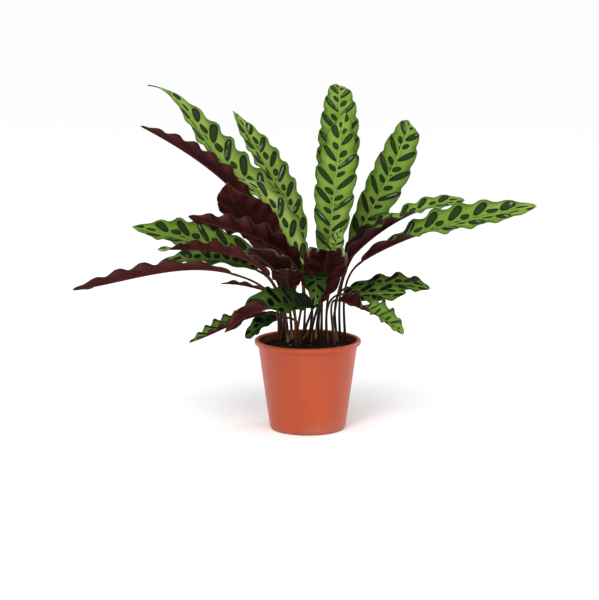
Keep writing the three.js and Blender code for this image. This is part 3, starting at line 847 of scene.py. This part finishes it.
def stemMaps(leaf, number, high, share):
    steps, sides = len(share) - 1, stem["sides"]
    corners = [(0, 0), (0, 1), (1, 1), (1, 0)]
    spots = [(i + up, k + on) for i in range(steps) for k in range(sides) for up, on in corners]
    spots += [(end, k) for end in (0, steps) for k in range(sides)]
    row, turn = np.array(spots).T
    turn = turn / sides
    up, wide = bake["stemStart"] + bake["long"] * share[row], bake["stemStart"] + bake["stemWide"] * turn
    return {
        "stem": np.stack([high[row] / 100, turn], axis=-1),
        "tone": np.broadcast_to([leaf["tone"][1], (number * stem["seedPace"]) % 1], (len(row), 2)),
        "length": np.stack([share[row], np.zeros(len(row))], axis=-1),
        "OFBake": np.stack([wide, up], axis=-1),
    }


def makeStem(name, leaf, number, rib, finish):
    path = stemPath(leaf, rib)
    share = runs(path) / runs(path)[-1]
    knuckle = stem["knuckle"]
    radii = stem["foot"] + (stem["neck"] - stem["foot"]) * share
    radii = radii + knuckle["height"] * hump(share - knuckle["place"], knuckle["width"])
    radii = radii - stem["waist"] * np.sin(np.pi * share)
    radii[-1] = stem["tip"]
    points = tubeRings(path, radii, stem["sides"]) / 1000
    maps = stemMaps(leaf, number, path[:, 2] - stem["edge"], share)
    piece = makePiece("stalk_" + name, points, tubeFaces(len(path) - 1, stem["sides"]), [finish], None, maps)
    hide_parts("stem_" + name)
    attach(piece, "root")


bladeFinishes = [leafTop(), leafUnderside()]
stalkFinish = stemFinish()
for number, (name, leaf) in enumerate(leaves.items()):
    rib = Rib(leaf["rib"])
    makeLeaf(name, leaf, number, rib, bladeFinishes)
    makeStem(name, leaf, number, rib, stalkFinish)
print("stage:", len(leaves), "leaves and their stems made")


# Pot: turned from its profile in mm, with the rim's rolls drawn finely
pot = {
    "rim": 60.0, "height": 102.0, "band": 5.4, "roll": 3.0, "round": 1.7, "wall": 1.4, "shoulder": 56.2,
    "underBand": ((-0.15, -0.6), (0.2, 0.0)), "insideBand": ((0.3, 0.0), (0.0, -1.0)), "base": 43.0,
    "corner": 4.0, "cornerEnd": -6, "cornerSteps": 8, "innerCorner": (2.0, 1.0), "floor": 2.0,
    "groove": (18.0, 29.0), "lip": (0.3, 0.2), "slope": 1.0, "deep": 2.2, "holes": 8, "hole": 3.6,
    "holeSides": 24, "drill": (-5.0, 12.0), "sides": 144, "sharp": 38,
}
clays = {
    "colour": srgb(170, 61, 12), "pale": srgb(184, 79, 32), "shade": srgb(144, 46, 13),
    "dust": srgb(150, 118, 96), "paintedInnerShade": srgb(66, 20, 12),
}
# Clouds and limits as before, in metres. The painted shade's line follows the wall inside, in mm like the pot
potLook = {
    "cloud": (18.0, 4.0), "grain": (900.0, 2.0),
    "streaks": (60.0, 60.0, 6.0), "streak": (1.0, 4.0),
    "scratches": (900.0, 900.0, 130.0), "scratch": (1.0, 2.0), "sharp": (0.72, 0.76), "where": (0.5, 0.62),
    "pale": (0.35, 0.7), "shade": (0.62, 0.4),
    "innerShadeBase": -0.5, "innerShadeWider": 1.2, "innerShadeEdge": (-0.0005, -0.0008),
    "innerShadeFloor": (0.003, 0.008), "innerShadeTop": (0.1015, 0.1003),
    "dustBelow": (0.022, 0.0), "dust": (0.4, 0.65),
    "shine": 0.45, "relief": (0.25, 0.0004),
}


def arc(centre, radius, start, end, steps=6):  # points round a corner of the profile, angles in degrees
    turns = [math.radians(start + (end - start) * i / steps) for i in range(steps + 1)]
    return [(centre[0] + radius * math.cos(t), centre[1] + radius * math.sin(t)) for t in turns]


def turned(profile, sides):
    points, faces, starts = [], [], []
    for r, z in profile:
        starts.append(len(points))
        for k in range(1 if r == 0 else sides):
            t = 2 * math.pi * k / sides
            points.append((r * math.cos(t), r * math.sin(t), z))

    def at(row, k):
        return starts[row] + (0 if profile[row][0] == 0 else k % sides)

    for i in range(len(profile) - 1):
        for k in range(sides):
            corners = [at(i, k), at(i, k + 1), at(i + 1, k + 1), at(i + 1, k)]
            faces.append(tuple(dict.fromkeys(corners)))
    return np.array(points), faces


def insideWall(finish, where):  # told apart by its distance from the pot's axis
    x, y, z = finish.parts("XYZ", where)
    wider = pot["shoulder"] - pot["base"] + potLook["innerShadeWider"]
    line = (pot["base"] + potLook["innerShadeBase"] + wider * (z * (1000 / pot["height"]))) / 1000
    inside = ((x * x + y * y) ** 0.5 - line).step(*potLook["innerShadeEdge"])
    return inside * z.step(*potLook["innerShadeFloor"]) * z.step(*potLook["innerShadeTop"]), z


def potFinish():
    finish, look = Finish("terracotta_plastic"), potLook
    where = finish.place()
    inside, z = insideWall(finish, where)
    cloud = finish.clouds(where, *look["cloud"])
    grain = finish.clouds(where, *look["grain"])
    streak = finish.clouds(finish.stretched(where, look["streaks"]), *look["streak"])
    scratch = finish.clouds(finish.stretched(where, look["scratches"]), *look["scratch"])
    scratch = scratch.step(*look["sharp"]) * cloud.step(*look["where"])
    low = z.step(*look["dustBelow"]) * cloud.step(*look["dust"])
    colour = finish.layers(
        clays, "colour",
        (cloud.step(*look["pale"]) * 0.25 + streak * 0.15, "pale"),
        (streak.step(*look["shade"]) * 0.18, "shade"),
        # painted shade on the wall inside, below the rim's roll
        (inside * (0.75 + 0.2 * cloud), "paintedInnerShade"),
        (low * 0.3 + scratch * 0.45, "dust"),
    )
    rough = 0.3 + 0.1 * cloud + 0.08 * streak + 0.2 * scratch
    return finish.dress(colour, rough, grain * 0.25 + streak * 0.3 - scratch * 0.8, look)


def potProfile():  # from the middle of the underside, out, up, over the rim and down inside
    r, h, roll, small = pot["rim"], pot["height"], pot["roll"], pot["round"]
    under, base, corner = h - pot["band"], pot["base"], pot["corner"]
    inner, innerBase = pot["shoulder"] - pot["wall"], base - pot["wall"]
    floorTop = pot["floor"] + pot["deep"]
    g0, g1 = pot["groove"]
    lip, lipHigh = pot["lip"]
    profile = [(0, 0), (g0 - lip, 0), (g0, lipHigh), (g0 + pot["slope"], pot["deep"])]
    profile += [(g1 - pot["slope"], pot["deep"]), (g1, lipHigh), (g1 + lip, 0)]
    profile += arc((base - corner, corner), corner, -90, pot["cornerEnd"], pot["cornerSteps"])
    profile += [(pot["shoulder"] + out, under + up) for out, up in pot["underBand"]]
    profile += arc((r - small, under + small), small, -90, 0)
    profile += arc((r - small, h - small), small, 0, 90)
    profile += arc((r - roll, h - small), small, 90, 180)
    profile += [(inner + out, under + up) for out, up in pot["insideBand"]]
    profile += [(innerBase, corner + pot["innerCorner"][1])]
    return profile + [(innerBase - pot["innerCorner"][0], floorTop), (0, floorTop)]


def drainCutter():
    points, faces = [], []
    place = sum(pot["groove"]) / 2
    for i in range(pot["holes"]):
        t = 2 * math.pi * i / pot["holes"]
        ends = np.array([[place * math.cos(t), place * math.sin(t), z] for z in pot["drill"]])
        faces += [tuple(len(points) + c for c in face) for face in tubeFaces(1, pot["holeSides"])]
        points += (tubeRings(ends, [pot["hole"]] * 2, pot["holeSides"]) / 1000).tolist()
    return makePiece("drain_cutter", points, faces, [])


def makePot():
    points, faces = turned(potProfile(), pot["sides"])
    piece = makePiece("pot_shell", points / 1000, faces, [potFinish()])
    cutter = drainCutter()
    cut = piece.modifiers.new("drains", "BOOLEAN")
    cut.operation = "DIFFERENCE"
    cut.object = cutter
    graph = bpy.context.evaluated_depsgraph_get()
    mesh = bpy.data.meshes.new_from_object(piece.evaluated_get(graph), depsgraph=graph)
    piece.modifiers.clear()
    piece.data = mesh
    bpy.data.objects.remove(cutter)
    mesh.set_sharp_from_angle(angle=math.radians(pot["sharp"]))
    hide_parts("pot")
    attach(piece, "root")


makePot()
print("stage: pot made")


# Soil: a lumpy crown between the stems, with crumbs, a few pale grains and bits of bark on it, in mm
soil = {
    "edge": 92.5, "crown": 96.5, "radius": 54.25, "bottom": 5.0, "narrowing": 0.78, "calmEdge": 6,
    "lump": 0.7, "lumps": (0.31, 0.27, 0.13, 0.17), "rough": 1.1,
    "noises": ((0.25, 3.0, 1.4), (0.8, 7.0, 0.8)),  # pace, level and height
    "rings": 54, "sides": 144, "dull": 0.8,
}
earths = {
    "colour": srgb(20, 12, 8), "brown": srgb(46, 28, 18), "grain": srgb(206, 200, 186),
    "grainShade": srgb(170, 160, 140), "bark": srgb(92, 60, 38),
}
soilLook = {"coarse": (220.0, 5.0, 0.65), "fine": (1400.0, 3.0), "shine": 0.15, "relief": (0.9, 0.0012)}
# Bits that lie on the soil. Dull is the least roughness of their finish
litter = {
    "soil_crumbs": {
        "count": 1500, "sizes": (0.6, 2.2), "stretch": 1.2, "spread": 52.5, "seed": 4,
        "finish": "soil_crumb", "dark": "colour", "light": "brown", "dull": 0.75,
    },
    "pale_grains": {
        "count": 46, "sizes": (0.4, 0.9), "stretch": 1.1, "spread": 51.5, "seed": 11,
        "finish": "pale_grain", "dark": "grain", "light": "grainShade", "dull": 0.6,
    },
    "bark_bits": {
        "count": 60, "sizes": (0.7, 1.4), "stretch": 2.6, "spread": 51.5, "seed": 23,
        "finish": "bark_bit", "dark": "bark", "light": "brown", "dull": 0.65,
    },
}
bit = {"smaller": (0.6, 1.0), "narrow": (0.6, 1.0), "flat": (0.5, 0.8), "knobbly": 0.25, "lift": 0.15}


def soilTop(x, y):
    r = math.hypot(x, y)
    first, second, third, fourth = soil["lumps"]
    lump = math.sin(first * x + 1) * math.sin(second * y) + math.sin(third * x - fourth * y)
    z = soil["crown"] + (soil["edge"] - soil["crown"]) * (r / soil["radius"]) ** 2
    keep = min(1.0, (soil["radius"] - r) / soil["calmEdge"])
    fine = sum(noise.noise((x * pace, y * pace, level)) * height for pace, level, height in soil["noises"])
    return z + keep * soil["lump"] * lump + soil["rough"] * fine * keep


def soilFinish(name, dark, light, dull):
    finish, look = Finish(name), soilLook
    where = finish.place()
    coarse = finish.clouds(where, *look["coarse"])
    fine = finish.clouds(where, *look["fine"])
    colour = finish.mix((coarse - 0.35) * 1.8, earths[dark], earths[light])
    return finish.dress(colour, dull + 0.2 * fine, coarse + fine * 0.5, look)


def makeSoil():
    rings, sides = soil["rings"], soil["sides"]
    points = [(0, 0, soilTop(0, 0))]
    for i in range(1, rings + 1):
        r = soil["radius"] * i / rings
        for k in range(sides):
            t = 2 * math.pi * (k + 0.5 * (i % 2)) / sides
            x, y = r * math.cos(t), r * math.sin(t)
            points.append((x, y, soilTop(x, y)))
    base = len(points)
    points += [(x * soil["narrowing"], y * soil["narrowing"], soil["bottom"]) for x, y, _ in points[-sides:]]
    points.append((0, 0, soil["bottom"]))
    faces = [(0, 1 + k, 1 + (k + 1) % sides) for k in range(sides)]
    for i in range(rings):
        a, b = 1 + i * sides, 1 + (i + 1) * sides
        for k in range(sides):
            n = (k + 1) % sides
            faces.append((a + k, b + k, b + n, a + n))
    faces += [(base + sides, base + (k + 1) % sides, base + k) for k in range(sides)]
    finish = soilFinish("potting_soil", "colour", "brown", soil["dull"])
    piece = makePiece("soil_bed", np.array(points) / 1000, faces, [finish])
    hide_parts("soil")
    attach(piece, "root")


def scatter(name, bits):
    dice = random.Random(bits["seed"])
    ball = bmesh.new()
    bmesh.ops.create_icosphere(ball, subdivisions=1, radius=1.0)
    shape = [v.co.copy() for v in ball.verts]
    sides = [[v.index for v in f.verts] for f in ball.faces]
    ball.free()
    points, faces = [], []
    for _ in range(bits["count"]):
        r = bits["spread"] * math.sqrt(dice.random())
        t = dice.uniform(0, 2 * math.pi)
        x, y = r * math.cos(t), r * math.sin(t)
        size = dice.uniform(*bits["sizes"]) * dice.uniform(*bit["smaller"])
        wide, high = size * dice.uniform(*bit["narrow"]), size * dice.uniform(*bit["flat"])
        scale = Vector((size * bits["stretch"], wide, high))
        turn = dice.uniform(0, 2 * math.pi)
        across, along = math.sin(turn), math.cos(turn)
        first = len(points)
        for p in shape:
            q = Vector(p) * (1 + dice.uniform(-bit["knobbly"], bit["knobbly"]))
            q = Vector((q.x * scale.x, q.y * scale.y, q.z * scale.z))
            place = x + (q.x * along - q.y * across), y + (q.x * across + q.y * along)
            points.append((*place, soilTop(x, y) + q.z + size * bit["lift"]))
        faces += [tuple(first + i for i in side) for side in sides]
    finish = soilFinish(bits["finish"], bits["dark"], bits["light"], bits["dull"])
    piece = makePiece(name, np.array(points) / 1000, faces, [finish])
    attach(piece, "root")


makeSoil()
for name, bits in litter.items():
    scatter(name, bits)
print("stage: soil made")


# Dry stub of an old stem, in mm
stub = {
    "line": ((-8.5, 22, 92), (0, 20.5, 106)), "radii": (1.5, 0.9), "sway": (0.25, 0.1, 0),
    "swayPace": 9, "knots": 0.15, "knotPace": 17, "steps": 8, "sides": 10, "light": srgb(150, 92, 46),
    "dark": srgb(96, 56, 32), "fibres": (900.0, 900.0, 120.0), "fibre": (1.0, 3.0), "shine": 0.5,
    "relief": (0.6, 0.0005),
}


def stubFinish():
    finish = Finish("dry_stub")
    fibres = finish.clouds(finish.stretched(finish.place(), stub["fibres"]), *stub["fibre"])
    colour = finish.mix(fibres, stub["light"], stub["dark"])
    return finish.dress(colour, 0.7 + 0.15 * fibres, fibres, stub)


def makeStub():
    foot, top = np.array(stub["line"], dtype=float)
    share = np.linspace(0, 1, stub["steps"] + 1)
    t = share[:, None]
    path = foot + (top - foot) * t + np.sin(t * stub["swayPace"]) * stub["sway"]
    radii = stub["radii"][0] + (stub["radii"][1] - stub["radii"][0]) * share
    radii = radii + stub["knots"] * np.sin(share * stub["knotPace"])
    faces = tubeFaces(stub["steps"], stub["sides"])
    piece = makePiece("dry_stub", tubeRings(path, radii, stub["sides"]) / 1000, faces, [stubFinish()])
    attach(piece, "root")


makeStub()
print("stage: stub made")
